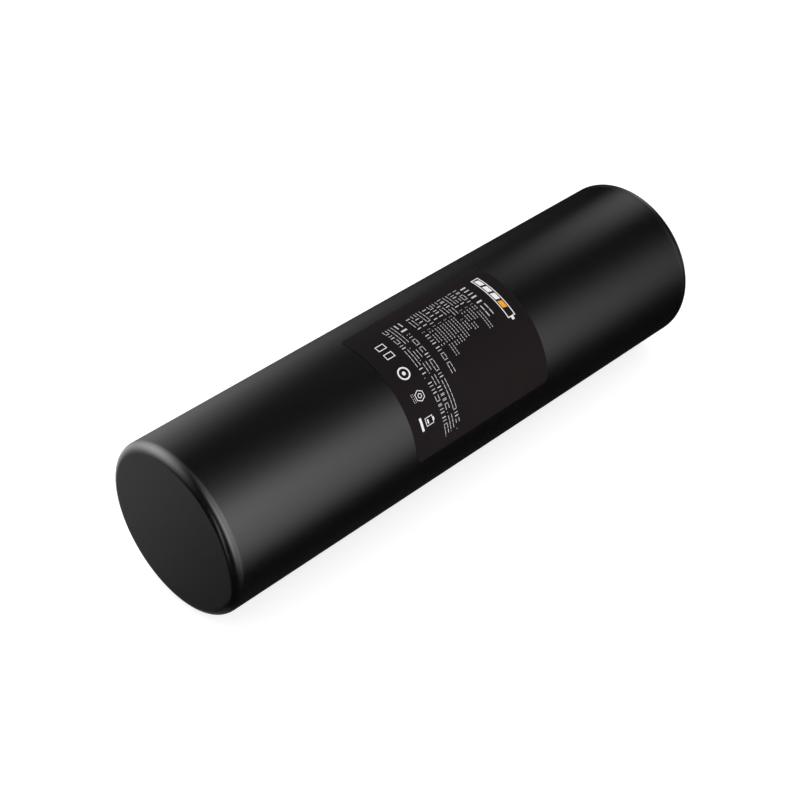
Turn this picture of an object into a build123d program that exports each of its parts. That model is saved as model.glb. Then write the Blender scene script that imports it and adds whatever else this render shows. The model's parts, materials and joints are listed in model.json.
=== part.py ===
from build123d import *
from math import pi, tan
import os

# A rechargeable battery pack in a plain black cylinder: four 18650 lithium-ion cells in
# series, two side by side in each of two layers, in a drawn aluminium can.
#
# Every piece is drawn standing, with the pack's axis along Z and the closed end at z = 0.
# LAID_DOWN then turns it into the row frame: the axis becomes +X, from the closed end
# towards the socket end, drawing x becomes +Y and drawing y becomes +Z. All sizes are in
# millimetres.
LAID_DOWN = Plane.YZ.location

# ---------------------------------------------------------------- case
PACK_LENGTH = 151.0
PACK_RADIUS = 21.0
FACE_RADIUS = 19.05  # the closed end's flat face, which stops at a faint edge
EDGE_DEPTH = 2.5  # how far along the can the rounding beyond that edge runs
CAP_EDGE_RADIUS = 2.0  # the rounding at the socket end
WALL = 1.5
BASE = 2.0  # thickness of the can's closed end
BORE_RADIUS = PACK_RADIUS - WALL
CAP_FLANGE = 2.6
SEAM = PACK_LENGTH - CAP_FLANGE  # where the end cap meets the can

# End cap: its spigot slides into the can and a bead on it snaps into a groove.
SPIGOT_RADIUS = BORE_RADIUS - 0.05
SPIGOT_WALL = 2.0
SPIGOT_LENGTH = 8.0
BEAD_HEIGHT = 0.3
BEAD_LOW = SEAM - 6.0  # bead's lower edge
BEAD_WIDTH = 1.2
SEAL_LOW = SEAM - 3.5  # seal groove's lower edge
SEAL_GROOVE_WIDTH = 1.9
SEAL_GROOVE_DEPTH = 1.3

# Rating label, stuck on the can. Its angles turn about the axis from straight up.
LABEL_LOW = 53.25
LABEL_HIGH = 96.85
LABEL_FROM = -10.8
LABEL_TO = 89.2
LABEL_THICKNESS = 0.12
LABEL_CORNER = 1.5

# ---------------------------------------------------------------- cells
CELL_LENGTH = 65.0
CELL_CAN_RADIUS = 9.1
CELL_CAN_WALL = 0.25
CELL_RADIUS = 9.2  # with its shrink sleeve
CELL_X = 9.35  # the two cells of a layer stand at +/- this x
LAYER_GAP = 1.6
BASE_PAD = 1.0
LIP = 1.0  # how far a cell holder reaches past the cell ends
LOWER_LAYER = BASE + BASE_PAD + LIP
UPPER_LAYER = LOWER_LAYER + CELL_LENGTH + LAYER_GAP
CELLS_TOP = UPPER_LAYER + CELL_LENGTH
LAYER_SEAM = LOWER_LAYER + CELL_LENGTH  # top ends of the lower cells

# ---------------------------------------------------------------- inner frame
SLEEVE_RADIUS = BORE_RADIUS - 0.1  # outside of the paper sleeve that lines the can
SLEEVE_WALL = 0.3
HOLDER_RADIUS = SLEEVE_RADIUS - SLEEVE_WALL - 0.2
SOCKET_RADIUS = CELL_RADIUS + 0.05
SOCKET_DEPTH = 7.0
HOLDER_HALF_WIDTH = 10.2
WINDOW_RADIUS = 7.0
TERMINAL_DISC = 0.5

# ---------------------------------------------------------------- strips and board
STRIP = 0.15  # nickel strip's thickness
LINK_WIDTH = 8.0
TAB_WIDTH = 5.0
BOARD_UNDER = 10.6  # the board's underside, above the pack's axis
BOARD_THICKNESS = 1.0
BOARD_TOP = BOARD_UNDER + BOARD_THICKNESS
BOARD_HALF_WIDTH = 12.0
BOARD_LOW = 79.0
BOARD_HIGH = 133.0

# ---------------------------------------------------------------- wires
OUTPUT_WIRE = 0.8  # radius with insulation
SENSE_WIRE = 0.5
THERMISTOR_LEAD = 0.3
THERMISTOR_BEAD = 1.2

# ---------------------------------------------------------------- power socket
SOCKET_FLANGE_RADIUS = 5.5
SOCKET_FLANGE = 1.0
SOCKET_FACE = PACK_LENGTH - 0.1  # just below the cap's face
SOCKET_BARREL_RADIUS = 4.5
SOCKET_BACK = 139.4
SOCKET_BORE_RADIUS = 2.85
SOCKET_BORE_DEPTH = 9.5
LEAD_IN = 0.4  # the bore's chamfered mouth
PIN_RADIUS = 1.0
PIN_TIP = SOCKET_FACE - 1.0
PIN_ROOT_RADIUS = 1.3  # where the pin is moulded into the socket's floor
TAIL_RADIUS = 0.8
TAIL_END = SOCKET_BACK - 1.9
SLOT_HALF_WIDTH = 1.2
SLOT_RADIUS = 3.8  # how far the contact's slot reaches from the axis
CONTACT = 0.25  # leaf's and lug's thickness
CONTACT_WIDTH = 2.0
LEAF_ROOT = (3.35, SOCKET_FACE - SOCKET_BORE_DEPTH + 0.5)  # distance from the axis, height

ON_BASE = (Align.CENTER, Align.CENTER, Align.MIN)
FROM_CORNER = (Align.MIN, Align.MIN, Align.MIN)


# ---------------------------------------------------------------- shapes
def rod(radius, low, high, x=0.0, y=0.0):
    """A cylinder along the axis, from height low to high."""
    return Pos(x, y, low) * Cylinder(radius, high - low, align=ON_BASE)


def ring(outer, inner, low, high, x=0.0, y=0.0):
    """A tube along the axis."""
    return rod(outer, low, high, x, y) - rod(inner, low, high, x, y)


def block(x, y, z):
    """A box from three (low, high) pairs."""
    size = [high - low for low, high in (x, y, z)]
    return Pos(x[0], y[0], z[0]) * Box(*size, align=FROM_CORNER)


def turned(*profile):
    """A solid of revolution about the axis, from (radius, height) corners."""
    outline = Plane.XZ * Polyline(*profile, close=True)
    return revolve(make_face(outline), Axis.Z)


def edges_at(part, height):
    """The part's edges that lie at one height."""
    return part.edges().filter_by_position(Axis.Z, height, height)


def strip(points, width, bend):
    """A flat metal strip that follows a path in the YZ plane, wide along X."""
    path = FilletPolyline(*[(0, y, z) for y, z in points], radius=bend)
    across = Plane(origin=path @ 0, x_dir=(1, 0, 0), z_dir=path % 0)
    return sweep(across * Rectangle(width, STRIP), path=path)


def wire(points, radius):
    """An insulated wire: straight runs joined by arcs as large as the runs allow."""
    corners = [Vector(*p) for p in points]
    radii = []
    for before, here, after in zip(corners, corners[1:], corners[2:]):
        turn = (here - before).get_angle(after - here)
        shorter = min((here - before).length, (after - here).length)
        radii.append(0.45 * shorter / tan(turn * pi / 360))
    path = FilletPolyline(*points, radius=radii)
    return sweep(Plane(origin=path @ 0, z_dir=path % 0) * Circle(radius), path=path)


# ---------------------------------------------------------------- case pieces
def case_can():
    """Drawn can: closed at the base, with a snap groove near its mouth."""
    rounding = TangentArc((PACK_RADIUS, EDGE_DEPTH), (FACE_RADIUS, 0), tangent=(0, -1))
    straight = Polyline(
        (FACE_RADIUS, 0), (0, 0), (0, SEAM), (PACK_RADIUS, SEAM), (PACK_RADIUS, EDGE_DEPTH)
    )
    outside = revolve(make_face(Plane.XZ * (straight + rounding)), Axis.Z)
    inside = rod(BORE_RADIUS, BASE, SEAM)
    inside = fillet(edges_at(inside, BASE), 1.0)
    groove = ring(
        BORE_RADIUS + BEAD_HEIGHT + 0.05,
        BORE_RADIUS - 1,
        BEAD_LOW - 0.1,
        BEAD_LOW + BEAD_WIDTH + 0.1,
    )
    return outside - inside - groove


def end_cap():
    """Moulded cap: flange with a rounded edge, spigot with a seal groove and snap bead."""
    flange = rod(PACK_RADIUS, SEAM, PACK_LENGTH)
    flange = fillet(edges_at(flange, PACK_LENGTH), CAP_EDGE_RADIUS)
    low = SEAM - SPIGOT_LENGTH
    spigot = ring(SPIGOT_RADIUS, SPIGOT_RADIUS - SPIGOT_WALL, low, SEAM)
    spigot = chamfer(edges_at(spigot, low), 0.4)
    bead = turned(
        (SPIGOT_RADIUS - 0.5, BEAD_LOW),
        (SPIGOT_RADIUS, BEAD_LOW),
        (SPIGOT_RADIUS + BEAD_HEIGHT, BEAD_LOW + 0.7),
        (SPIGOT_RADIUS + BEAD_HEIGHT, BEAD_LOW + BEAD_WIDTH),
        (SPIGOT_RADIUS - 0.5, BEAD_LOW + BEAD_WIDTH),
    )
    groove = ring(
        SPIGOT_RADIUS + 1,
        SPIGOT_RADIUS - SEAL_GROOVE_DEPTH,
        SEAL_LOW,
        SEAL_LOW + SEAL_GROOVE_WIDTH,
    )
    seat = rod(SOCKET_FLANGE_RADIUS + 0.1, SOCKET_FACE - SOCKET_FLANGE, PACK_LENGTH)
    hole = rod(SOCKET_BARREL_RADIUS + 0.1, SEAM, PACK_LENGTH)
    return flange + spigot + bead - groove - seat - hole


def end_cap_seal():
    """Round-section seal ring, squeezed between the groove's floor and the can."""
    floor = SPIGOT_RADIUS - SEAL_GROOVE_DEPTH
    section = (BORE_RADIUS - floor) / 2 - 0.01
    middle = SEAL_LOW + SEAL_GROOVE_WIDTH / 2
    return Pos(0, 0, middle) * Torus((BORE_RADIUS + floor) / 2, section)


def rating_label():
    """Adhesive label with rounded corners, wrapped part of the way round the can."""
    outer = PACK_RADIUS + LABEL_THICKNESS
    strip_face = Plane.XZ * Pos(PACK_RADIUS, LABEL_LOW) * Rectangle(
        LABEL_THICKNESS, LABEL_HIGH - LABEL_LOW, align=(Align.MIN, Align.MIN)
    )
    # Straight up is drawing +Y, and positive angles go towards drawing -X.
    label = revolve(strip_face, Axis.Z, LABEL_TO - LABEL_FROM)
    label = Rot(0, 0, 90 + LABEL_FROM) * label
    across = [e for e in label.edges() if abs(e.length - (outer - PACK_RADIUS)) < 1e-3]
    return fillet(across, LABEL_CORNER)


# ---------------------------------------------------------------- one cell
# A cell stands on its flat negative end at height 0, with its button at CELL_LENGTH.
NECK_LOW = 60.0  # the inward bead that holds up the cell's lid
NECK_HIGH = 61.95
NECK_DEPTH = 0.95
CRIMP_TOP = 64.3
CRIMP_RADIUS = 7.5  # the opening that the crimped edge leaves
GASKET_WALL = 0.65
LID_RADIUS = CELL_CAN_RADIUS - CELL_CAN_WALL - GASKET_WALL
LID_LOW = NECK_HIGH + 0.5
VENT_DISC = 0.5
BUTTON_RADIUS = 3.2
ROLL_RADIUS = CELL_CAN_RADIUS - CELL_CAN_WALL - 0.1
ROLL_CORE = 1.5
ROLL_LOW = 0.7
ROLL_HIGH = 59.3


def cell_can():
    """Steel can with its neck bead and its mouth crimped over the gasket."""
    r, w = CELL_CAN_RADIUS, CELL_CAN_WALL
    middle = (NECK_LOW + NECK_HIGH) / 2
    neck = r - NECK_DEPTH
    return turned(
        (0, 0),
        (r - 0.5, 0),
        (r, 0.5),
        (r, NECK_LOW - 0.2),
        (neck, middle - 0.2),
        (neck, middle + 0.2),
        (r, NECK_HIGH + 0.2),
        (r, CRIMP_TOP - 0.3),
        (r - 0.3, CRIMP_TOP),
        (CRIMP_RADIUS, CRIMP_TOP),
        (CRIMP_RADIUS, CRIMP_TOP - w),
        (r - w, CRIMP_TOP - w),
        (r - w, NECK_HIGH),
        (neck - w, middle + 0.2),
        (neck - w, middle - 0.2),
        (r - w, NECK_LOW),
        (r - w, 0.3),
        (0, 0.3),
    )


def cell_gasket():
    """Plastic gasket that insulates the lid from the can."""
    outer = CELL_CAN_RADIUS - CELL_CAN_WALL
    top = CRIMP_TOP - CELL_CAN_WALL
    rim_top = LID_LOW + 2 * VENT_DISC
    return turned(
        (outer, NECK_HIGH),
        (outer, top),
        (CRIMP_RADIUS, top),
        (CRIMP_RADIUS, rim_top),
        (LID_RADIUS, rim_top),
        (LID_RADIUS, LID_LOW),
        (LID_RADIUS - 0.8, LID_LOW),
        (LID_RADIUS - 0.8, NECK_HIGH),
    )


def cell_vent_disc():
    """Aluminium burst disc under the lid, dished towards the roll."""
    low, high = LID_LOW, LID_LOW + VENT_DISC
    return turned(
        (0, low - 0.3),
        (3.0, low - 0.3),
        (4.5, low),
        (LID_RADIUS, low),
        (LID_RADIUS, high),
        (4.3, high),
        (2.8, high - 0.3),
        (0, high - 0.3),
    )


def cell_top_cap():
    """Pressed steel lid with its raised button and three vent holes round it."""
    low = LID_LOW + VENT_DISC
    sheet = 0.4
    slope = 0.8  # how far the button's wall leans outwards at its foot
    cap = turned(
        (0, CELL_LENGTH),
        (BUTTON_RADIUS, CELL_LENGTH),
        (BUTTON_RADIUS + slope, low + VENT_DISC),
        (LID_RADIUS, low + VENT_DISC),
        (LID_RADIUS, low),
        (BUTTON_RADIUS + slope - sheet, low),
        (BUTTON_RADIUS - sheet, CELL_LENGTH - sheet),
        (0, CELL_LENGTH - sheet),
    )
    reach = BUTTON_RADIUS + 2
    hole = Pos(reach / 2, 0, CELL_LENGTH - 1.0) * Rot(0, 90, 0) * Cylinder(0.35, reach)
    for turn in range(3):
        cap -= Rot(0, 0, 120 * turn + 60) * hole
    return cap


def cell_jelly_roll():
    """Wound electrodes and separator, round an open core."""
    return ring(ROLL_RADIUS, ROLL_CORE, ROLL_LOW, ROLL_HIGH)


def cell_sleeve():
    """Shrink sleeve, folded over the crimped edge."""
    return turned(
        (CELL_CAN_RADIUS, 0.5),
        (CELL_RADIUS, 0.5),
        (CELL_RADIUS, CRIMP_TOP + 0.1),
        (CRIMP_RADIUS, CRIMP_TOP + 0.1),
        (CRIMP_RADIUS, CRIMP_TOP),
        (CELL_CAN_RADIUS, CRIMP_TOP),
    )


def cell_insulator_ring():
    """Paper washer on top of the crimped edge."""
    return ring(CELL_CAN_RADIUS - 0.3, BUTTON_RADIUS + 1.0, CRIMP_TOP + 0.1, CRIMP_TOP + 0.3)


def cell_insulating_discs():
    """Thin discs at the two ends of the roll."""
    lower = ring(ROLL_RADIUS - 0.2, ROLL_CORE, 0.35, ROLL_LOW - 0.05)
    upper = ring(ROLL_RADIUS - 0.2, ROLL_CORE + 1.2, ROLL_HIGH + 0.05, ROLL_HIGH + 0.35)
    return [lower, upper - block((3.4, 4.6), (-2.2, 2.2), (ROLL_HIGH, ROLL_HIGH + 1))]


def cell_electrode_tabs():
    """The roll's two tabs: one up to the burst disc, one under the core to the can."""
    under_disc = LID_LOW - 0.3
    riser = block((3.9, 4.0), (-2, 2), (ROLL_HIGH, under_disc))
    shelf = block((-1, 4.0), (-2, 2), (under_disc - 0.1, under_disc))
    foot = block((-1.2, 1.2), (-1, 1), (0.3, 0.34))
    return [riser + shelf, foot]


# Where each cell stands, in series order from the negative end of the pack. The two
# cells of the left column point their buttons down and those of the right column up.
CELL_PLACES = [
    Pos(-CELL_X, 0, CELLS_TOP) * Rot(180, 0, 0),
    Pos(-CELL_X, 0, LAYER_SEAM) * Rot(180, 0, 0),
    Pos(CELL_X, 0, LOWER_LAYER),
    Pos(CELL_X, 0, UPPER_LAYER),
]
CELL_PIECES = {
    "can": cell_can,
    "sleeve": cell_sleeve,
    "jelly_roll": cell_jelly_roll,
    "gasket": cell_gasket,
    "vent_disc": cell_vent_disc,
    "top_cap": cell_top_cap,
}


# ---------------------------------------------------------------- inner frame
def holder_blank(low, high):
    """The block that grips both cells, as wide as the lining sleeve allows."""
    width = (-HOLDER_HALF_WIDTH, HOLDER_HALF_WIDTH)
    reach = (-HOLDER_RADIUS, HOLDER_RADIUS)
    return rod(HOLDER_RADIUS, low, high) & block(reach, width, (low, high))


def sockets(radius, low, high):
    """Two round cuts, one for each cell of a layer."""
    return rod(radius, low, high, -CELL_X) + rod(radius, low, high, CELL_X)


def lead_notch(low, high):
    """Passage for the wires that run beside the cells."""
    return block((-5.2, 5.2), (10.2, 16.0), (low, high))


def tab_slots(low, high):
    """Slots that let the upright or folded strips pass through a holder's lip."""
    half = TAB_WIDTH / 2 + 0.3
    slots = [block((x - half, x + half), (0, 12.4), (low, high)) for x in (-CELL_X, CELL_X)]
    return slots[0] + slots[1]


def lower_holder():
    """Cell holder at the closed end, with a channel for the link across both cells."""
    lip_low = LOWER_LAYER - LIP
    holder = rod(HOLDER_RADIUS, lip_low, LOWER_LAYER)
    holder += holder_blank(LOWER_LAYER, LOWER_LAYER + SOCKET_DEPTH)
    holder -= sockets(SOCKET_RADIUS, LOWER_LAYER, LOWER_LAYER + SOCKET_DEPTH)
    holder -= sockets(WINDOW_RADIUS, lip_low, LOWER_LAYER)
    half = LINK_WIDTH / 2 + 0.2
    holder -= block((-CELL_X, CELL_X), (-half, half), (lip_low, LOWER_LAYER))
    return holder - block((-2.2, 2.2), (0, 13.0), (lip_low, LOWER_LAYER + SOCKET_DEPTH))


def middle_holder():
    """Cell holder between the layers, open where the folded links pass."""
    low, high = LAYER_SEAM - SOCKET_DEPTH, UPPER_LAYER + SOCKET_DEPTH
    holder = holder_blank(low, high) + rod(HOLDER_RADIUS, LAYER_SEAM, UPPER_LAYER)
    holder -= sockets(SOCKET_RADIUS, low, LAYER_SEAM)
    holder -= sockets(SOCKET_RADIUS, UPPER_LAYER, high)
    holder -= sockets(WINDOW_RADIUS, LAYER_SEAM, UPPER_LAYER)
    holder -= tab_slots(LAYER_SEAM, UPPER_LAYER)
    return holder - lead_notch(LAYER_SEAM, UPPER_LAYER)


def upper_holder():
    """Cell holder at the socket end, open for the output tabs and wires."""
    low, high = CELLS_TOP - SOCKET_DEPTH, CELLS_TOP + LIP
    holder = holder_blank(low, CELLS_TOP) + rod(HOLDER_RADIUS, CELLS_TOP, high)
    holder -= sockets(SOCKET_RADIUS, low, CELLS_TOP)
    holder -= sockets(WINDOW_RADIUS, CELLS_TOP, high)
    holder -= tab_slots(CELLS_TOP, high)
    return holder - lead_notch(CELLS_TOP, high)


def terminal_insulator():
    """Card disc between the cells and the socket."""
    low = CELLS_TOP + LIP
    disc = rod(HOLDER_RADIUS, low, low + TERMINAL_DISC)
    return disc - lead_notch(low, low + TERMINAL_DISC)


def insulation_sleeve():
    """Paper tube that lines the can round the cells."""
    return ring(SLEEVE_RADIUS, SLEEVE_RADIUS - SLEEVE_WALL, BASE + BASE_PAD, CELLS_TOP + LIP)


def base_pad():
    """Foam disc that presses the cells towards the cap."""
    return rod(BORE_RADIUS - 1.2, BASE, BASE + BASE_PAD)


# ---------------------------------------------------------------- nickel strips
def folded_link(x):
    """Joins the facing ends of the two cells of one column, folded beside them."""
    low, high = LAYER_SEAM + STRIP / 2, UPPER_LAYER - STRIP / 2
    fold = 11.0
    points = [(-3.5, low), (fold, low), (fold, high), (-3.5, high)]
    return Pos(x, 0, 0) * strip(points, TAB_WIDTH, (high - low) / 2 - 0.02)


def flat_link():
    """Joins both lower cells at the closed end, with a folded tab for its sense wire."""
    reach, half = CELL_X + 3.0, LINK_WIDTH / 2
    level = (LOWER_LAYER - STRIP, LOWER_LAYER)
    bar = fillet(block((-reach, reach), (-half, half), level).edges().filter_by(Axis.Z), 1.0)
    middle = LOWER_LAYER - STRIP / 2
    return bar + strip([(half - 0.5, middle), (11.0, middle), (11.0, middle + 5.5)], 3.6, 0.4)


def output_tab(x):
    """Joins a cell's end at the socket end to the board."""
    level, front = CELLS_TOP + STRIP / 2, BOARD_TOP + STRIP / 2
    foot = BOARD_HIGH - 3.0
    return Pos(x, 0, 0) * strip([(-3.5, level), (front, level), (front, foot)], TAB_WIDTH, 0.4)


# ---------------------------------------------------------------- protection board
def protection_board():
    """Circuit board that guards the cells, lying along the upper layer."""
    board = block(
        (-BOARD_HALF_WIDTH, BOARD_HALF_WIDTH),
        (BOARD_UNDER, BOARD_TOP),
        (BOARD_LOW, BOARD_HIGH),
    )
    return fillet(board.edges().filter_by(Axis.Y), 1.0)


def board_tape():
    """Foam tape between the board and the cells under it."""
    low = UPPER_LAYER + SOCKET_DEPTH + 2.5
    high = CELLS_TOP - SOCKET_DEPTH - 1.0
    return block((-10.5, 10.5), (CELL_RADIUS + 0.1, BOARD_UNDER), (low, high))


def chips(size, places):
    """Identical packages on the board: size is (across, height, along), places (x, z)."""
    across, height, along = size
    return [
        block(
            (x - across / 2, x + across / 2),
            (BOARD_TOP, BOARD_TOP + height),
            (z - along / 2, z + along / 2),
        )
        for x, z in places
    ]


def rounded_chips(size, places):
    """The same, with the softened upper edges of moulded packages."""
    top = BOARD_TOP + size[1]
    return [
        chamfer(c.edges().filter_by_position(Axis.Y, top, top), 0.15)
        for c in chips(size, places)
    ]


SWITCH_PLACES = [(x, z) for x in (-7.4, 7.4) for z in (108.0, 117.0)]
GUARD_PLACES = [(0.0, 97.0)]
SENSE_RESISTOR_PLACES = [(-2.6, 116.0), (2.6, 116.0)]
CAPACITOR_PLACES = [(x, z) for x in (-8.5, -5.7, 5.7, 8.5) for z in (91.0, 94.5, 98.0, 101.5)]


# ---------------------------------------------------------------- wires
def output_wires():
    """The two leads from the board to the socket's tails: positive, then negative."""
    lie = BOARD_TOP + OUTPUT_WIRE
    turn_height = SOCKET_BACK - 1.1
    positive = [
        (2.6, lie, 122.0),
        (2.6, lie + 0.3, 130.0),
        (2.6, lie + 0.3, turn_height),
        (0.5, TAIL_RADIUS + 0.05, turn_height),
    ]
    negative = [
        (-3.0, lie, 122.0),
        (-3.0, lie + 0.3, 130.0),
        (-3.0, lie + 0.3, turn_height),
        (-LEAF_ROOT[0] - 0.2, CONTACT_WIDTH / 2 + 0.1, turn_height),
    ]
    return wire(positive, OUTPUT_WIRE), wire(negative, OUTPUT_WIRE)


def sense_wires():
    """Thin leads from the three links between cells to the board's lower end."""
    lie = BOARD_TOP + SENSE_WIRE
    high = BOARD_LOW + 4.0
    over_fold = BOARD_TOP + SENSE_WIRE - 0.4
    leads = []
    for x in (-CELL_X, CELL_X):
        lead = [
            (x, over_fold, UPPER_LAYER),
            (0.9 * x, lie + 0.5, UPPER_LAYER + 5),
            (0.8 * x, lie, high),
        ]
        leads.append(wire(lead, SENSE_WIRE))
    beside_tab = 11.0 + STRIP / 2 + SENSE_WIRE
    long_lead = [
        (0, beside_tab, LOWER_LAYER + 2.0),
        (0.0, beside_tab + 0.6, 36.0),
        (0.8, beside_tab + 0.9, 62.0),
        (0.0, lie, high),
    ]
    return [*leads, wire(long_lead, SENSE_WIRE)]


BEAD_PLACE = (0.0, 5.2, 96.0)  # in the groove between the two upper cells


def thermistor_bead():
    """Glass bead that senses the cells' temperature."""
    return Pos(*BEAD_PLACE) * Cylinder(THERMISTOR_BEAD, 3.6)


def thermistor_leads():
    """Two fine leads, down the groove and round the board's lower end."""
    x, y, z = BEAD_PLACE
    below = BOARD_LOW - 0.8
    return [
        wire(
            [
                (x + side, y, z - 1.8),
                (x + side, y + 1.0, below + 3.0),
                (x + 2 * side, y + 3.5, below),
                (x + 3 * side, BOARD_TOP + 0.9, below),
                (x + 5 * side, BOARD_TOP + THERMISTOR_LEAD, BOARD_LOW + 4.0),
            ],
            THERMISTOR_LEAD,
        )
        for side in (-0.5, 0.5)
    ]


# ---------------------------------------------------------------- power socket
def contact_slot(low, high):
    """The slot beside the bore that the leaf contact moves in."""
    half = SLOT_HALF_WIDTH
    return block((-SLOT_RADIUS, -SOCKET_BORE_RADIUS + 0.4), (-half, half), (low, high))


def jack_body():
    """Moulded socket for a 5.5 mm barrel plug: flange, barrel, bore and contact slot."""
    under_flange = SOCKET_FACE - SOCKET_FLANGE
    body = rod(SOCKET_FLANGE_RADIUS, under_flange, SOCKET_FACE)
    body = chamfer(edges_at(body, SOCKET_FACE), 0.3)
    body += rod(SOCKET_BARREL_RADIUS, SOCKET_BACK, under_flange)
    floor = SOCKET_FACE - SOCKET_BORE_DEPTH
    body -= rod(SOCKET_BORE_RADIUS, floor, SOCKET_FACE)
    body -= turned(
        (0, SOCKET_FACE - LEAD_IN),
        (SOCKET_BORE_RADIUS, SOCKET_FACE - LEAD_IN),
        (SOCKET_BORE_RADIUS + LEAD_IN, SOCKET_FACE),
        (0, SOCKET_FACE),
    )
    body -= contact_slot(SOCKET_BACK, SOCKET_FACE - 1.6)
    return body - rod(PIN_ROOT_RADIUS, SOCKET_BACK, floor)


def jack_washer():
    """Spring washer under the socket's nut."""
    return ring(SOCKET_BARREL_RADIUS + 1.9, SOCKET_BARREL_RADIUS + 0.1, SEAM - 0.5, SEAM)


def jack_nut():
    """Hexagon nut that clamps the socket to the cap from inside."""
    high = SEAM - 0.5
    nut = Pos(0, 0, high - 2.0) * extrude(RegularPolygon(6.0, 6, major_radius=False), 2.0)
    return nut - rod(SOCKET_BARREL_RADIUS + 0.02, high - 2.0, high)


def jack_pin():
    """Centre contact: a pin with a rounded tip, a thicker root and a solder tail."""
    floor = SOCKET_FACE - SOCKET_BORE_DEPTH
    pin = fillet(edges_at(rod(PIN_RADIUS, floor, PIN_TIP), PIN_TIP), 0.5)
    return pin + rod(PIN_ROOT_RADIUS, SOCKET_BACK, floor) + rod(TAIL_RADIUS, TAIL_END, SOCKET_BACK)


def leaf_path(points):
    """A contact strip's path on the -X side, from (distance, height) points."""
    return FilletPolyline(*[(-r, 0, z) for r, z in points], radius=0.3)


def contact_strip(path):
    """Sweeps the contact's section along its path."""
    across = Plane(origin=path @ 0, x_dir=(0, 1, 0), z_dir=path % 0)
    return sweep(across * Rectangle(CONTACT_WIDTH, CONTACT), path=path)


def jack_lug():
    """Outer contact's fixed part: its root in the slot and its solder tail."""
    distance, height = LEAF_ROOT
    half = CONTACT / 2
    return block(
        (-distance - half, -distance + half),
        (-CONTACT_WIDTH / 2, CONTACT_WIDTH / 2),
        (TAIL_END, height - 0.1),
    )


def jack_leaf():
    """Outer contact's springy part, which a plug pushes outwards."""
    distance, height = LEAF_ROOT
    return contact_strip(
        leaf_path(
            [
                (distance, height),
                (distance, height + 1.0),
                (2.45, height + 4.7),
                (3.05, height + 6.4),
            ]
        )
    )


# ---------------------------------------------------------------- assembly
def pieces():
    """Every node's name and its solid or solids, in the standing drawing frame."""
    made = {
        "case_can": case_can(),
        "end_cap": end_cap(),
        "end_cap_seal": end_cap_seal(),
        "rating_label": rating_label(),
        "base_pad": base_pad(),
        "insulation_sleeve": insulation_sleeve(),
        "lower_cell_holder": lower_holder(),
        "middle_cell_holder": middle_holder(),
        "upper_cell_holder": upper_holder(),
        "terminal_insulator": terminal_insulator(),
        "link_cell_1_to_2": folded_link(-CELL_X),
        "link_cell_2_to_3": flat_link(),
        "link_cell_3_to_4": folded_link(CELL_X),
        "negative_output_tab": output_tab(-CELL_X),
        "positive_output_tab": output_tab(CELL_X),
        "protection_board": protection_board(),
        "board_tape": board_tape(),
        "board_switches": rounded_chips((5.0, 1.2, 6.0), SWITCH_PLACES),
        "board_guard_chip": rounded_chips((5.3, 1.5, 6.2), GUARD_PLACES),
        "board_sense_resistors": chips((3.2, 0.6, 6.3), SENSE_RESISTOR_PLACES),
        "board_capacitors": chips((1.6, 0.8, 0.8), CAPACITOR_PLACES),
        "sense_wires": sense_wires(),
        "thermistor_bead": thermistor_bead(),
        "thermistor_leads": thermistor_leads(),
        "jack_body": jack_body(),
        "jack_washer": jack_washer(),
        "jack_nut": jack_nut(),
        "jack_pin": jack_pin(),
        "jack_lug": jack_lug(),
        "jack_leaf": jack_leaf(),
    }
    made["output_wire_positive"], made["output_wire_negative"] = output_wires()
    for number, place in enumerate(CELL_PLACES, start=1):
        for piece, make in CELL_PIECES.items():
            made[f"cell_{number}_{piece}"] = place * make()
    made["cell_insulator_rings"] = [place * cell_insulator_ring() for place in CELL_PLACES]
    for name, make in (
        ("cell_insulating_discs", cell_insulating_discs),
        ("cell_electrode_tabs", cell_electrode_tabs),
    ):
        made[name] = [place * solid for place in CELL_PLACES for solid in make()]
    return made


def main():
    os.makedirs("parts", exist_ok=True)
    for name, shape in pieces().items():
        solids = shape if isinstance(shape, list) else [shape]
        laid = [LAID_DOWN * solid for solid in solids]
        whole = laid[0] if len(laid) == 1 else Compound(children=laid)
        export_step(whole, f"parts/{name}.step")


main()
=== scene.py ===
import json
import math
import random

import bmesh
import bpy
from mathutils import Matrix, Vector


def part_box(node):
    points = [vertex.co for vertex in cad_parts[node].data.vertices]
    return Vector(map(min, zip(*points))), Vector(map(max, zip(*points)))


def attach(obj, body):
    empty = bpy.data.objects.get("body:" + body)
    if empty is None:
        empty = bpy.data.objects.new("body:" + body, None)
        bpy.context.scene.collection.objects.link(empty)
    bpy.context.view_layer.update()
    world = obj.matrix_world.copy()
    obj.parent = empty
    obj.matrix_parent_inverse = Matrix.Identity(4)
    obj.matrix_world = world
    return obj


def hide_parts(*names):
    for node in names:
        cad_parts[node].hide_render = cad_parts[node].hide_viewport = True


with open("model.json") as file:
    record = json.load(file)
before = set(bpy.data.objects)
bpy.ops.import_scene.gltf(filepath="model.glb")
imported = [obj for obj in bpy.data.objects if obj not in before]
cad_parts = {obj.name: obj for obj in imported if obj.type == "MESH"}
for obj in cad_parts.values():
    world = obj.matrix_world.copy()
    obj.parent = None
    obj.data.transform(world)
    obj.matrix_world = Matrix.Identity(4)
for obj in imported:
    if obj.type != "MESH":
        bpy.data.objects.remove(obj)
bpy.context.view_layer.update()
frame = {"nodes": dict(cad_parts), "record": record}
random.seed(18650)

# The pack lies along +X with its closed end at x = 0. Angles round its axis are degrees from
# straight up, positive towards -Y, the side that the label is on. Everything is in metres.
MM = 0.001
BODY = "pack"
ROUND = 256  # segments round the pack's axis

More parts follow.
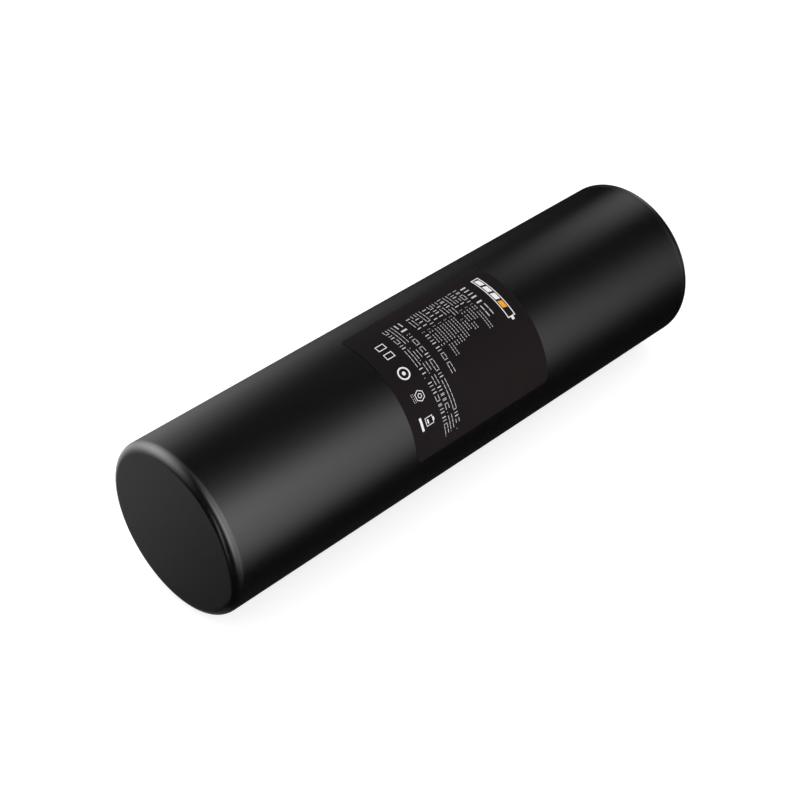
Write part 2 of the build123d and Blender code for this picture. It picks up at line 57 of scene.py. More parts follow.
can_low, can_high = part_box("case_can")
cap_low, cap_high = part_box("end_cap")
label_low, label_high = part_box("rating_label")
RADIUS = can_high.y
LENGTH = cap_high.x
SEAM = can_high.x
FLOOR_LEVEL = can_low.z
FACE_RADIUS = 19.05 * MM  # where the closed end's flat face stops
EDGE_DEPTH = 2.5 * MM  # how far along the can the rounding beyond it runs
CAP_EDGE_RADIUS = 2.0 * MM
WALL = 1.5 * MM
BORE_RADIUS = RADIUS - WALL
HAIRLINE = 0.04 * MM  # rounding of the edges where the can and the cap meet


# ------------------------------------------------------------------ mesh helpers
def piece(name, build, material, sharp):
    """A new object of the model from a bmesh, which rides on the pack's body. Edges that turn by
    more than the sharp angle, in degrees, are shaded as edges."""
    bmesh.ops.recalc_face_normals(build, faces=build.faces[:])
    mesh = bpy.data.meshes.new(name)
    build.to_mesh(mesh)
    build.free()
    mesh.shade_smooth()
    mesh.set_sharp_from_angle(angle=math.radians(sharp))
    made = bpy.data.objects.new(name, mesh)
    bpy.context.scene.collection.objects.link(made)
    made.data.materials.append(material)
    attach(made, BODY)
    return made


def arc(centre, radius, start, end, steps):
    """Points of an arc in the plane of (distance from the axis, place along it)."""
    points = []
    for i in range(steps + 1):
        angle = math.radians(start + (end - start) * i / steps)
        points.append((centre[0] + radius * math.cos(angle), centre[1] + radius * math.sin(angle)))
    return points


def supported(profile, reach):
    """Adds a point next to both ends of every long run, so that shading stays crisp there."""
    points = []
    for i, here in enumerate(profile):
        after = profile[(i + 1) % len(profile)]
        points.append(here)
        run = math.dist(here, after)
        if run > 4 * reach:
            for share in (reach / run, 1 - reach / run):
                points.append((
                    here[0] + (after[0] - here[0]) * share,
                    here[1] + (after[1] - here[1]) * share,
                ))
    return points


def lathe(name, profile, material, sharp=35):
    """A closed solid of revolution about the X axis. The profile is a loop of (distance, place)
    points; a point at distance 0 becomes a single vertex on the axis."""
    build = bmesh.new()
    rings = []
    for distance, along in profile:
        if distance < 1e-7:
            rings.append([build.verts.new((along, 0, 0))])
            continue
        ring = []
        for i in range(ROUND):
            angle = 2 * math.pi * i / ROUND
            ring.append(build.verts.new(
                (along, -distance * math.sin(angle), distance * math.cos(angle))
            ))
        rings.append(ring)
    for first, second in zip(rings, rings[1:] + rings[:1]):
        if len(first) == 1 and len(second) == 1:
            continue
        for i in range(ROUND):
            j = (i + 1) % ROUND
            corners = [first[i % len(first)], first[j % len(first)]]
            corners += [second[j % len(second)], second[i % len(second)]]
            build.faces.new(list(dict.fromkeys(corners)))
    return piece(name, build, material, sharp)


def on_barrel(around, along, distance):
    """The point at an arc length round the pack from straight up, measured on its surface."""
    angle = around / RADIUS
    return Vector((along, -distance * math.sin(angle), distance * math.cos(angle)))


def wrapped(name, outlines, low, high, material, step=0.45 * MM):
    """Flat closed outlines of (round, along) points, wrapped on the barrel as thin solids
    between two distances from the axis. They are cut every step, so that they bend."""
    build = bmesh.new()
    for outline in outlines:
        build.faces.new([build.verts.new((around, along, 0)) for around, along in outline])
    first = min(v.co.x for v in build.verts)
    last = max(v.co.x for v in build.verts)
    for i in range(1, int((last - first) / step) + 1):
        bmesh.ops.bisect_plane(
            build,
            geom=build.verts[:] + build.edges[:] + build.faces[:],
            plane_co=(first + i * step, 0, 0),
            plane_no=(1, 0, 0),
        )
    grown = bmesh.ops.extrude_face_region(build, geom=build.faces[:])
    tops = {v for v in grown["geom"] if isinstance(v, bmesh.types.BMVert)}
    for vertex in build.verts:
        distance = high if vertex in tops else low
        vertex.co = on_barrel(vertex.co.x, vertex.co.y, distance)
    return piece(name, build, material, sharp=30)


# ------------------------------------------------------------------ material helpers
class Nodes:
    """A material's node tree, with its Principled shader."""

    def __init__(self, name):
        self.material = bpy.data.materials.new(name)
        self.material.use_nodes = True
        self.tree = self.material.node_tree
        self.shader = self.tree.nodes["Principled BSDF"]
        self.place = self.add("ShaderNodeTexCoord").outputs["Object"]

    def add(self, kind):
        return self.tree.nodes.new(kind)

    def link(self, source, target):
        self.tree.links.new(source, target)

    def set(self, **values):
        for key, value in values.items():
            self.shader.inputs[key.replace("_", " ")].default_value = value

    def stretched(self, scale):
        """The piece's own coordinates, scaled differently along each axis."""
        mapping = self.add("ShaderNodeMapping")
        mapping.inputs["Scale"].default_value = scale
        self.link(self.place, mapping.inputs["Vector"])
        return mapping.outputs["Vector"]

    def noise(self, size, detail=3.0, roughness=0.5, place=None):
        """Noise whose grains are about that size, in metres."""
        noise = self.add("ShaderNodeTexNoise")
        noise.inputs["Scale"].default_value = 1 / size
        noise.inputs["Detail"].default_value = detail
        noise.inputs["Roughness"].default_value = roughness
        self.link(place or self.place, noise.inputs["Vector"])
        return noise.outputs["Fac"]

    def tint(self, factor, dark, light):
        """Colours the base between two colours."""
        ramp = self.add("ShaderNodeValToRGB")
        ramp.color_ramp.elements[0].position = 0.3
        ramp.color_ramp.elements[1].position = 0.7
        ramp.color_ramp.elements[0].color = (*dark, 1)
        ramp.color_ramp.elements[1].color = (*light, 1)
        self.link(factor, ramp.inputs["Fac"])
        self.link(ramp.outputs["Color"], self.shader.inputs["Base Color"])

    def rough(self, factor, low, high):
        """Varies the roughness between two values."""
        span = self.add("ShaderNodeMapRange")
        span.inputs["From Min"].default_value = 0.3
        span.inputs["From Max"].default_value = 0.7
        span.inputs["To Min"].default_value = low
        span.inputs["To Max"].default_value = high
        self.link(factor, span.inputs["Value"])
        self.link(span.outputs["Result"], self.shader.inputs["Roughness"])

    def bump(self, factor, height):
        """Raises the surface by a height in metres where the factor is 1."""
        bump = self.add("ShaderNodeBump")
        bump.inputs["Distance"].default_value = height
        bump.inputs["Strength"].default_value = 1.0
        self.link(factor, bump.inputs["Height"])
        self.link(bump.outputs["Normal"], self.shader.inputs["Normal"])


def shade(color, amount):
    """A colour made darker or lighter."""
    return tuple(min(1.0, c * amount) for c in color)


def moulded(name, color, roughness, grain=0.25 * MM, depth=0.004 * MM):
    """Moulded plastic: spark-eroded grain and slight mottling."""
    n = Nodes(name)
    n.tint(n.noise(4 * MM, 4.0), shade(color, 0.85), shade(color, 1.15))
    n.rough(n.noise(1.2 * MM, 3.0), roughness - 0.05, roughness + 0.05)
    n.bump(n.noise(grain, 2.0), depth)
    return n.material


def metal(name, color, roughness, stretch):
    """Rolled or drawn metal with fine lines along one axis."""
    n = Nodes(name)
    n.set(Metallic=1.0)
    lines = n.noise(0.08 * MM, 2.0, place=n.stretched(stretch))
    n.tint(n.noise(3 * MM, 3.0), shade(color, 0.88), shade(color, 1.06))
    n.rough(lines, roughness - 0.06, roughness + 0.06)
    n.bump(lines, 0.002 * MM)
    return n.material


# ------------------------------------------------------------------ materials
def satin_black(name, grain, roughness):
    """Black finish of the case: a fine even grain under a soft sheen."""
    n = Nodes(name)
    n.set(IOR=1.5)
    n.tint(n.noise(6 * MM, 4.0), (0.0014, 0.0014, 0.0015), (0.0019, 0.0019, 0.0020))
    n.rough(n.noise(0.9 * MM, 3.0), roughness - 0.015, roughness + 0.015)
    n.bump(n.noise(grain, 2.0), 0.0012 * MM)
    return n.material


def label_film():
    """Printed film: matt black with hardly any sheen."""
    n = Nodes("label_film")
    n.set(IOR=1.25)
    n.set(Specular_IOR_Level=0.1)
    n.tint(n.noise(5 * MM, 4.0), (0.0104, 0.0079, 0.0082), (0.0115, 0.0088, 0.0092))
    n.rough(n.noise(0.7 * MM, 3.0), 0.5, 0.58)
    n.bump(n.noise(0.12 * MM, 3.0), 0.0015 * MM)
    return n.material


def ink(name, color):
    """Screen-printed ink with slightly uneven cover."""
    n = Nodes(name)
    n.set(Specular_IOR_Level=0.2)
    cover = n.noise(0.35 * MM, 3.0)
    n.tint(cover, shade(color, 0.9), color)
    n.rough(cover, 0.55, 0.7)
    n.bump(n.noise(0.1 * MM, 2.0), 0.001 * MM)
    return n.material


def fibrous(name, color):
    """Insulating paper: pressed fibres lying every way."""
    n = Nodes(name)
    n.set(Specular_IOR_Level=0.3)
    fibres = n.noise(0.5 * MM, 6.0, 0.7, place=n.stretched((0.35, 1, 1)))
    n.tint(fibres, shade(color, 0.8), shade(color, 1.15))
    n.rough(fibres, 0.7, 0.85)
    n.bump(fibres, 0.02 * MM)
    return n.material


def foam():
    """Closed-cell foam: a skin of small cells."""
    n = Nodes("foam")
    cells = n.add("ShaderNodeTexVoronoi")
    cells.inputs["Scale"].default_value = 1 / (0.4 * MM)
    n.link(n.place, cells.inputs["Vector"])
    n.tint(cells.outputs["Distance"], (0.03, 0.03, 0.033), (0.07, 0.07, 0.075))
    n.rough(n.noise(1 * MM), 0.85, 0.95)
    n.bump(cells.outputs["Distance"], 0.06 * MM)
    return n.material


def seal_rubber():
    """Rubber: matt, with a faint bloom."""
    n = Nodes("seal_rubber")
    n.set(Specular_IOR_Level=0.35)
    bloom = n.noise(1.5 * MM, 4.0)
    n.tint(bloom, (0.012, 0.012, 0.012), (0.026, 0.026, 0.027))
    n.rough(bloom, 0.55, 0.7)
    n.bump(n.noise(0.15 * MM), 0.004 * MM)
    return n.material


def circuit_board():
    """Solder mask over copper: blocky copper areas show through as lighter green."""
    n = Nodes("circuit_board")
    copper = n.add("ShaderNodeTexBrick")
    copper.inputs["Scale"].default_value = 1 / (9 * MM)
    copper.inputs["Mortar Size"].default_value = 0.03
    copper.inputs["Color1"].default_value = (0.02, 0.16, 0.06, 1)
    copper.inputs["Color2"].default_value = (0.015, 0.12, 0.045, 1)
    copper.inputs["Mortar"].default_value = (0.008, 0.06, 0.025, 1)
    n.link(n.place, copper.inputs["Vector"])
    n.link(copper.outputs["Color"], n.shader.inputs["Base Color"])
    n.rough(n.noise(2 * MM), 0.22, 0.32)
    n.bump(copper.outputs["Fac"], 0.03 * MM)
    return n.material


def electrode_foil():
    """The roll's wound layers, seen on its ends as fine rings round each cell's core."""
    n = Nodes("electrode_foil")
    n.set(Metallic=0.6)
    turns = n.noise(0.1 * MM, 2.0, place=n.stretched((0.02, 1, 1)))
    n.tint(turns, (0.03, 0.028, 0.027), (0.16, 0.13, 0.10))
    n.rough(turns, 0.4, 0.6)
    n.bump(turns, 0.02 * MM)
    return n.material


def insulated_wire(name, color):
    """Flexible wire insulation: soft sheen, faint scuffs along the wire."""
    n = Nodes(name)
    scuffs = n.noise(0.6 * MM, 4.0, place=n.stretched((0.3, 1, 1)))
    n.tint(scuffs, shade(color, 0.85), shade(color, 1.1))
    n.rough(scuffs, 0.3, 0.45)
    n.bump(scuffs, 0.006 * MM)
    return n.material


# How the noise is stretched into lines: along the pack's axis, or across it.
ALONG = (0.05, 1, 1)
ACROSS = (1, 0.05, 1)
MATERIALS = {
    "anodised_can": satin_black("anodised_can", 0.35 * MM, 0.25),
    "cap_plastic": satin_black("cap_plastic", 0.45 * MM, 0.26),
    "seal_rubber": seal_rubber(),
    "label_film": label_film(),
    "label_ink_white": ink("label_ink_white", (0.86, 0.86, 0.86)),
    "small_print": ink("label_small_print", (0.60, 0.60, 0.60)),
    "label_ink_orange": ink("label_ink_orange", (0.90, 0.37, 0.017)),
    "foam": foam(),
    "insulating_paper": fibrous("insulating_paper", (0.22, 0.32, 0.24)),
    "holder_plastic": moulded("holder_plastic", (0.04, 0.04, 0.042), 0.45),
    "nickel_strip": metal("nickel_strip", (0.62, 0.60, 0.55), 0.28, ACROSS),
    "gasket_plastic": moulded("gasket_plastic", (0.80, 0.80, 0.76), 0.5),
    "circuit_board": circuit_board(),
    "chip_resin": moulded("chip_resin", (0.02, 0.02, 0.022), 0.5, grain=0.08 * MM),
    "ceramic_chip": moulded("ceramic_chip", (0.45, 0.32, 0.20), 0.35, grain=0.1 * MM),
    "wire_white": insulated_wire("wire_white", (0.75, 0.75, 0.72)),
    "wire_red": insulated_wire("wire_red", (0.55, 0.03, 0.02)),
    "wire_black": insulated_wire("wire_black", (0.02, 0.02, 0.02)),
    "bead_epoxy": moulded("bead_epoxy", (0.03, 0.03, 0.035), 0.25, grain=0.5 * MM),
    "socket_plastic": moulded("socket_plastic", (0.012, 0.012, 0.013), 0.32, grain=0.2 * MM),
    "plated_steel": metal("plated_steel", (0.62, 0.62, 0.60), 0.2, ALONG),
    "plated_brass": metal("plated_brass", (0.74, 0.68, 0.52), 0.2, ALONG),
    "cell_steel": metal("cell_steel", (0.66, 0.66, 0.64), 0.24, ALONG),
    "cell_wrap": moulded("cell_wrap", (0.05, 0.24, 0.34), 0.28, grain=2 * MM, depth=0.01 * MM),
    "electrode_foil": electrode_foil(),
    "disc_aluminium": metal("disc_aluminium", (0.75, 0.75, 0.76), 0.22, ALONG),
}


def dress_cad_nodes():
    """Gives every CAD node the material of its slot in the record."""
    for subpart in frame["record"]["subparts"]:
        node = frame["nodes"][subpart["node"]]
        node.data.materials.clear()
        node.data.materials.append(MATERIALS[subpart["material_slot"]])


# ------------------------------------------------------------------ case
def case_shell():
    """The drawn can: flat closed end, rounded edge, long barrel, snap groove inside."""
    base = 2 * MM  # thickness of the closed end
    inner_edge = 1 * MM  # rounding of the inside edge
    groove_low, groove_high = SEAM - 6.1 * MM, SEAM - 4.7 * MM
    groove_radius = BORE_RADIUS + 0.35 * MM
    run_in = RADIUS - FACE_RADIUS
    curve = (run_in**2 + EDGE_DEPTH**2) / (2 * run_in)  # the rounding's radius
    first = -math.degrees(math.acos((curve - run_in) / curve))  # where it leaves the face
    profile = [(0, 0), (FACE_RADIUS * 0.5, 0)]
    profile += arc((RADIUS - curve, EDGE_DEPTH), curve, first, 0, 28)
    profile += arc((RADIUS - HAIRLINE, SEAM - HAIRLINE), HAIRLINE, 0, 90, 3)
    profile += [
        (BORE_RADIUS, SEAM),
        (BORE_RADIUS, groove_high),
        (groove_radius, groove_high),
        (groove_radius, groove_low),
        (BORE_RADIUS, groove_low),
    ]
    profile += arc((BORE_RADIUS - inner_edge, base + inner_edge), inner_edge, 0, -90, 8)
    profile += [(0, base)]
    outline = supported(profile, 0.1 * MM)
    shell = lathe("case_shell", outline, MATERIALS["anodised_can"], sharp=12)
    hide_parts("case_can")


def cap_shell():
    """The end cap: rounded flange, seat and hole for the socket, sealed spigot."""
    flat = RADIUS - CAP_EDGE_RADIUS
    spigot = BORE_RADIUS - 0.05 * MM
    spigot_inner = spigot - 2 * MM
    low = cap_low.x
    bead_low, bead_high = SEAM - 6.0 * MM, SEAM - 4.8 * MM
    groove_low, groove_high = SEAM - 3.5 * MM, SEAM - 1.6 * MM
    groove_floor = spigot - 1.3 * MM
    seat_radius, seat_depth = 5.6 * MM, 1.1 * MM
    hole_radius = 4.6 * MM
    lead_in = 0.4 * MM
    softened = 0.25 * MM
    profile = [(hole_radius, SEAM), (hole_radius, LENGTH - seat_depth)]
    profile += [(seat_radius, LENGTH - seat_depth)]
    profile += arc((seat_radius + softened, LENGTH - softened), softened, 180, 90, 5)
    profile += arc((flat, LENGTH - CAP_EDGE_RADIUS), CAP_EDGE_RADIUS, 90, 0, 28)
    profile += arc((RADIUS - HAIRLINE, SEAM + HAIRLINE), HAIRLINE, 0, -90, 3)
    profile += [
        (spigot, SEAM),
        (spigot, groove_high),
        (groove_floor, groove_high),
        (groove_floor, groove_low),
        (spigot, groove_low),
        (spigot, bead_high),
        (spigot + 0.3 * MM, bead_high),
        (spigot + 0.3 * MM, bead_low + 0.7 * MM),
        (spigot, bead_low),
        (spigot, low + lead_in),
        (spigot - lead_in, low),
        (spigot_inner + lead_in, low),
        (spigot_inner, low + lead_in),
        (spigot_inner, SEAM),
    ]
    shell = lathe("cap_shell", supported(profile, 0.08 * MM), MATERIALS["cap_plastic"])
    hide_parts("end_cap")


# ------------------------------------------------------------------ label
DEGREE = RADIUS * math.pi / 180  # arc length of one degree round the barrel
LABEL_FROM = -10.8 * DEGREE
LABEL_TO = 89.2 * DEGREE
LABEL_CORNER = 1.5 * MM
FILM = label_high.z - RADIUS  # how far the label and its print stand proud
INK = 0.015 * MM  # how far the print stands above the film
INK_SUNK = 0.01 * MM  # how far it reaches into the film
FILM_TOP = RADIUS + FILM - INK
INK_BOTTOM = FILM_TOP - INK_SUNK
INK_TOP = RADIUS + FILM
LINE_START = 0.9 * DEGREE  # where the lines of print begin, just past straight up


def label():
    """The label's film: a rounded rectangle bent round the barrel."""
    low, high, corner = label_low.x, label_high.x, LABEL_CORNER
    outline = arc((LABEL_TO - corner, low + corner), corner, -90, 0, 10)
    outline += arc((LABEL_TO - corner, high - corner), corner, 0, 90, 10)
    outline += arc((LABEL_FROM + corner, high - corner), corner, 90, 180, 10)
    outline += arc((LABEL_FROM + corner, low + corner), corner, 180, 270, 10)
    sheet = wrapped("label_sheet", [outline], RADIUS, FILM_TOP, MATERIALS["label_film"], 0.3 * MM)
    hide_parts("rating_label")


def bar(start, end, low, high):
    """A plain bar of print."""
    return [(start, low), (end, low), (end, high), (start, high)]


# A character's width, and from one character to the next, in heights.
WIDE = (0.96, 1.13)
NARROW = (0.46, 0.68)
BLOCK = 1.6  # width of a block, in strokes
GAP_SHARE = 0.12  # how many narrow characters have a gap after them
GAP = 0.4  # its extra width, in heights


def greek(start, low, width, height, stroke):
    """One greeked character, which only stands for a character: two level dashes, two
    upright ones or a small block. A narrow one is always two level dashes."""
    end, high = start + width, low + height
    kind = random.choice(("level", "level", "upright", "block"))
    if width < 0.6 * height:
        kind = "level"
    if kind == "level":
        return [bar(start, end, low, low + stroke), bar(start, end, high - stroke, high)]
    if kind == "upright":
        return [bar(start, start + stroke, low, high), bar(end - stroke, end, low, high)]
    margin = (width - BLOCK * stroke) / 2
    return [bar(start + margin, end - margin, low, high)]


def greeked(start, end, low, height, stroke, wide=True):
    """A run of greeked characters that fills the stretch from start to end."""
    width, pitch = (share * height for share in (WIDE if wide else NARROW))
    overrun = 0.1 * MM
    outlines = []
    at = start
    while at + width <= end + overrun:
        outlines += greek(at, low, width, height, stroke)
        at += pitch
        if not wide and random.random() < GAP_SHARE:
            at += GAP * height
    return outlines


def dots(around, low, size, rises):
    """Small square dots, one above the other."""
    return [bar(around, around + size, low + r, low + r + size) for r in rises]


def ring(centre, radius, width, steps=40):
    """A ring of print, as short pieces."""
    outer = arc(centre, radius, 0, 360, steps)
    inner = arc(centre, radius - width, 0, 360, steps)
    return [[outer[i], outer[i + 1], inner[i + 1], inner[i]] for i in range(steps)]


def disc(centre, radius):
    """A round dot of print."""
    return [arc(centre, radius, 0, 360, 24)[:-1]]


def frame_of(start, end, low, high, width):
    """A rectangular outline of print."""
    return [
        bar(start, end, low, low + width),
        bar(start, end, high - width, high),
        bar(start, start + width, low + width, high - width),
        bar(end - width, end, low + width, high - width),
    ]


def slanted(start, end, low, high, lean):
    """A bar of print that leans towards the end of the line."""
    return [(start, low), (end, low), (end + lean, high), (start + lean, high)]


def top_sign():
    """The sign at the head of the label: a battery outline with three charge bars in white
    and a fourth in orange."""
    low, high = 91.3 * MM, 93.65 * MM
    line, gap = 0.25 * MM, 0.28 * MM
    end = LINE_START + 13.2 * MM
    nub = 0.8 * MM
    bar_width, lean = 2.0 * MM, 0.35 * MM
    white = frame_of(LINE_START, end, low, high, line)
    white.append(bar(end, end + nub, low + nub, high - nub))
    bars = []
    for i in range(4):
        left = LINE_START + (0.55 + 2.6 * i) * MM
        bars.append(slanted(left, left + bar_width, low + line + gap, high - line - gap, lean))
    return white + bars[:3], bars[3:]


# The specification's lines: where each name ends, and where its value starts and ends, in
# degrees round the barrel. The last value has wide characters like the names.
LINES = (
    (14.0, 18.0, 36.4),
    (14.0, 18.0, 26.4),
    (14.0, 18.0, 32.2),
    (20.1, 23.8, 30.4),
    (14.0, 18.0, 33.6),
    (14.0, 18.0, 35.1),
    (14.0, 18.0, 35.1),
    (14.0, 18.0, 39.9),
    (14.0, 18.0, 31.2),
    (14.0, 18.0, 50.4),
)
LINE_TOP = 85.25 * MM  # where the first line is along the pack
LINE_PITCH = 1.75 * MM
SMALL_PRINT = 1.1 * MM
SMALL_STROKE = 0.15 * MM
SMALL_DOT = 0.17 * MM
COLON = (0.1 * MM, 0.65 * MM)


def specification():
    """A title and ten lines, each a name, a colon and a value."""
    title_low, title_height, title_stroke = 87.15 * MM, 1.58 * MM, 0.27 * MM
    outlines = greeked(LINE_START, 30.2 * DEGREE, title_low, title_height, title_stroke)
    for i, (name_end, start, end) in enumerate(LINES):
        low = LINE_TOP - i * LINE_PITCH
        outlines += greeked(LINE_START, name_end * DEGREE, low, SMALL_PRINT, SMALL_STROKE)
        outlines += dots((start - 1.9) * DEGREE, low, SMALL_DOT, COLON)
        wide = i == len(LINES) - 1
        height = SMALL_PRINT if wide else 0.88 * SMALL_PRINT
        outlines += greeked(start * DEGREE, end * DEGREE, low, height, SMALL_STROKE, wide)
    return outlines


# The notice's lines: the place along the pack in millimetres, and runs of print from one place
# to another, in degrees round the barrel.
NOTICE = (
    (65.95, ((14.7, 80.4),)),
    (64.05, ((0.9, 20), (23.6, 30), (33.2, 39.5), (42.8, 66.5), (69.7, 79.4))),
    (62.3, ((0.9, 40.7), (44.4, 80.7))),
)


def notice():
    """A heading and three long lines of small print."""
    heading_low, heading_height, heading_stroke = 65.9 * MM, 1.65 * MM, 0.33 * MM
    height = 1.08 * MM
    outlines = greeked(LINE_START, 10.8 * DEGREE, heading_low, heading_height, heading_stroke)
    outlines += dots(12.1 * DEGREE, 66.05 * MM, 0.22 * MM, (0.1 * MM, 0.75 * MM))
    for low, runs in NOTICE:
        for start, end in runs:
            outlines += greeked(start * DEGREE, end * DEGREE, low * MM, height, SMALL_STROKE)
            outlines += dots((end + 0.8) * DEGREE, low * MM, SMALL_DOT, (-0.05 * MM,))
    return outlines


def sign_row():
    """Plain signs along the label's foot: two frames, a ring with a dot, a hexagon in another
    over a few small characters, and a frame with a bar on it, a bar in it and a bar below."""
    line, top = 0.2 * MM, 59.75 * MM
    outlines = []
    for start in (8.4, 16.0):
        outlines += frame_of(start * DEGREE, (start + 4.4) * DEGREE, 57.3 * MM, top, line)
    centre = (32.7 * DEGREE, 58.35 * MM)
    outlines += ring(centre, 1.6 * MM, 0.38 * MM) + disc(centre, 0.48 * MM)
    centre = (49.2 * DEGREE, 58.8 * MM)
    outlines += ring(centre, 1.4 * MM, line, 6) + ring(centre, 0.62 * MM, line, 6)
    outlines += greeked(46.0 * DEGREE, 52.3 * DEGREE, 56.65 * MM, 0.6 * MM, 0.09 * MM, False)
    left, right = 63.0 * DEGREE, 68.5 * DEGREE
    outlines += frame_of(left, right, 57.5 * MM, top, 0.17 * MM)
    outlines.append(bar(left + 0.6 * MM, right - 0.6 * MM, top, 60.1 * MM))
    outlines.append(bar(left + 0.5 * MM, right - 0.5 * MM, 58.0 * MM, 58.4 * MM))
    outlines.append(bar(61.2 * DEGREE, 70.0 * DEGREE, 55.95 * MM, 56.6 * MM))
    return outlines


def label_print():
    """All of the label's print, as thin raised ink. Small print covers less well, so its ink is
    greyer."""
    white_sign, orange_sign = top_sign()
    groups = (
        ("print_sign_white", white_sign, "label_ink_white", "label_ink_white"),
        ("print_sign_orange", orange_sign, "label_ink_orange", "label_ink_orange"),
        ("print_specification", specification(), "label_ink_white", "small_print"),
        ("print_notice", notice(), "label_ink_white", "small_print"),
        ("print_sign_row", sign_row(), "label_ink_white", "label_ink_white"),
    )
    for name, outlines, slot, material in groups:
        made = wrapped(name, outlines, INK_BOTTOM, INK_TOP, MATERIALS[material])


# ------------------------------------------------------------------ studio
# Soft panels far away on all sides. Each has its direction, as degrees round the pack's axis
# and degrees towards the socket end, then half its height and width in degrees, how soft its
# edge is, and its brightness. Rows 1 and 3 to 6 are rounded results of a fit to measured tones,
# the first of them then adjusted. Rows 7, 9 and 10 are reworked rows of that fit, and
# the others were set one by one.
SOFT_PANELS = (
    (81.4, 12.5, 37.4, 28, 0.43, 1.54),
    (70, -27.5, 34, 12, 0.6, 5.4),
    (57, 5.7, 34, 17, 0.99, 3.24),
    (-58, -24, 24.5, 24.5, 1.0, 5.9),
    (-81, 6, 40, 18.5, 0.86, 1.55),
    (-30, 54.5, 14, 9, 1.0, 2.7),
    (108, -74, 16, 4, 0.25, 3.2),
    (165, -64, 7, 4, 0.4, 1.1),
    (-118, -16, 19, 33, 0.2, 0.36),
    (-158, -36, 15, 8, 0.3, 0.2),
    (180, 80, 30, 12, 0.4, 0.5),
    (187, 18, 22, 22, 0.7, 0.02),
)
EVEN_LIGHT = 1.0  # what rough surfaces get from every side


def direction(around, along):
    """Unit vectors towards a place in the studio, up its panel and across it."""
    a, b = math.radians(around), math.radians(along)
    out = Vector((math.sin(b), -math.cos(b) * math.sin(a), math.cos(b) * math.cos(a)))
    up = Vector((0, -math.cos(a), -math.sin(a)))
    return out, up, out.cross(up)


def studio_light():
    """A world that shows the soft panels to the pack and plain white to the camera."""
    world = bpy.data.worlds.new("studio")
    world.use_nodes = True
    bpy.context.scene.world = world
    tree = world.node_tree
    background = tree.nodes["Background"]
    place = tree.nodes.new("ShaderNodeTexCoord").outputs["Generated"]

    def along(vector):
        """How far the ray goes along a vector."""
        dot = tree.nodes.new("ShaderNodeVectorMath")
        dot.operation = "DOT_PRODUCT"
        dot.inputs[1].default_value = vector
        tree.links.new(place, dot.inputs[0])
        return dot.outputs["Value"]

    def math_node(operation, first, second):
        """A sum or product of two sockets or numbers."""
        node = tree.nodes.new("ShaderNodeMath")
        node.operation = operation
        for socket, value in zip(node.inputs, (first, second)):
            if isinstance(value, (int, float)):
                socket.default_value = value
            else:
                tree.links.new(value, socket)
        return node.outputs["Value"]

    total = 0.0
    for around, tilt, half_height, half_width, softness, brightness in SOFT_PANELS:
        out, up, across = direction(around, tilt)
        join = tree.nodes.new("ShaderNodeCombineXYZ")
        tree.links.new(along(up / math.sin(math.radians(half_height))), join.inputs["X"])
        tree.links.new(along(across / math.sin(math.radians(half_width))), join.inputs["Y"])
        reach = tree.nodes.new("ShaderNodeVectorMath")
        reach.operation = "LENGTH"
        tree.links.new(join.outputs["Vector"], reach.inputs[0])
        edge = tree.nodes.new("ShaderNodeMapRange")
        edge.interpolation_type = "SMOOTHSTEP"
        edge.inputs["From Min"].default_value = 1 - softness
        edge.inputs["From Max"].default_value = 1 + softness
        edge.inputs["To Min"].default_value = brightness
        edge.inputs["To Max"].default_value = 0
        tree.links.new(reach.outputs["Value"], edge.inputs["Value"])
        facing = math_node("GREATER_THAN", along(out), 0.0)
        total = math_node("ADD", total, math_node("MULTIPLY", edge.outputs["Result"], facing))
    # Mirrored rays meet the panels, and the camera meets a white ground. Scattered light is the
    # same from every side, as in a light tent.
    path = tree.nodes.new("ShaderNodeLightPath").outputs
    scattered = math_node("MULTIPLY", math_node("SUBTRACT", 1.0, path["Is Glossy Ray"]), EVEN_LIGHT)
    mirrored = math_node("MULTIPLY", total, path["Is Glossy Ray"])
    unseen = math_node("SUBTRACT", 1.0, path["Is Camera Ray"])
    lit = math_node("MULTIPLY", math_node("ADD", scattered, mirrored), unseen)
    strength = math_node("ADD", lit, path["Is Camera Ray"])
    tree.links.new(strength, background.inputs["Strength"])
    background.inputs["Color"].default_value = (1, 1, 1, 1)
    world.cycles.sampling_method = "NONE"


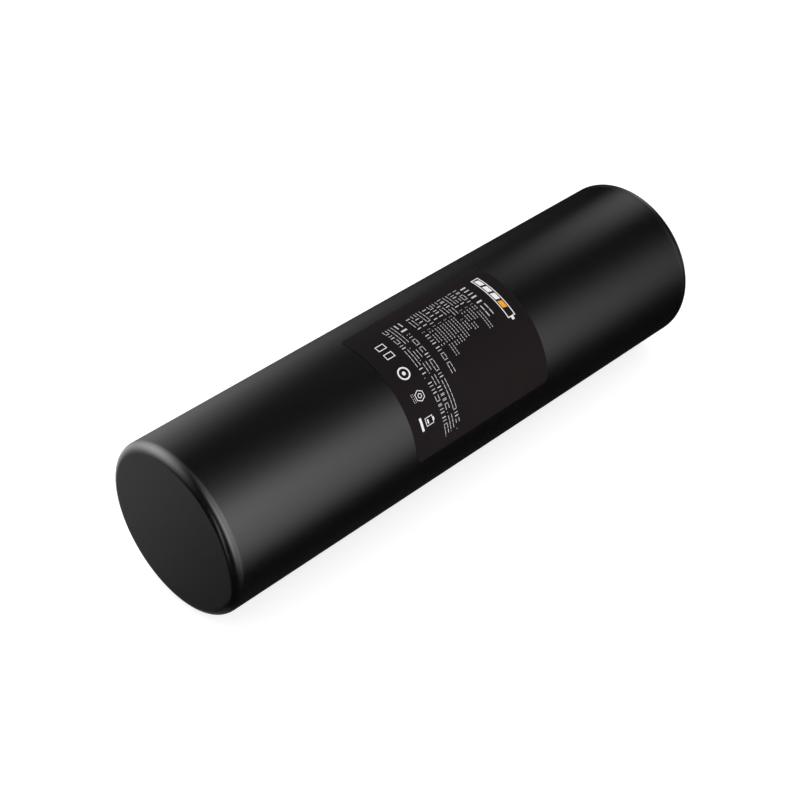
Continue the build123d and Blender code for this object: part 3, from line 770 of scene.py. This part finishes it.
def floor():
    """The pale floor. It shows to the camera and takes shadows, and isn't mirrored in the pack."""
    n = Nodes("floor")
    n.tint(n.noise(300 * MM, 2.0), (0.48, 0.48, 0.48), (0.50, 0.50, 0.50))
    n.set(Roughness=0.9, Specular_IOR_Level=0.1)
    n.set(Emission_Color=(1, 1, 1, 1), Emission_Strength=0.75)
    half = 8.0  # metres from its middle to its sides
    mesh = bpy.data.meshes.new("floor")
    corners = [(-half, -half), (half, -half), (half, half), (-half, half)]
    mesh.from_pydata([(x, y, FLOOR_LEVEL) for x, y in corners], [], [(0, 1, 2, 3)])
    plane = bpy.data.objects.new("floor", mesh)
    bpy.context.scene.collection.objects.link(plane)
    plane.data.materials.append(n.material)
    plane.visible_glossy = False
    plane.visible_shadow = False


CAMERA_TURN, CAMERA_RISE = -44.580, 38.381  # degrees round the pack's middle and above it
CAMERA_DISTANCE = 0.403534
CAMERA_LEFT, CAMERA_DOWN = 0.005066, 0.004485  # how far the eye is moved in the picture's plane
CAMERA_LENS = 76.414  # focal length in millimetres, on a sensor 36 mm wide


def camera():
    """A short telephoto view from above, off the closed end and the label's side."""
    turn, rise = math.radians(CAMERA_TURN), math.radians(CAMERA_RISE)
    lens = bpy.data.cameras.new("camera")
    lens.lens = CAMERA_LENS
    lens.sensor_width = 36
    lens.clip_start = 0.01
    eye = bpy.data.objects.new("camera", lens)
    back = Vector((
        math.sin(turn) * math.cos(rise),
        -math.cos(turn) * math.cos(rise),
        math.sin(rise),
    ))
    eye.rotation_mode = "QUATERNION"
    eye.rotation_quaternion = (-back).to_track_quat("-Z", "Y")
    right = eye.rotation_quaternion @ Vector((1, 0, 0))
    up = eye.rotation_quaternion @ Vector((0, 1, 0))
    centre = Vector((LENGTH / 2, 0, 0))
    eye.location = centre + back * CAMERA_DISTANCE - right * CAMERA_LEFT - up * CAMERA_DOWN
    bpy.context.scene.collection.objects.link(eye)
    bpy.context.scene.camera = eye


# ------------------------------------------------------------------ scene
dress_cad_nodes()
case_shell()
cap_shell()
label()
label_print()
floor()
studio_light()
camera()
bpy.context.scene.view_settings.view_transform = "Standard"
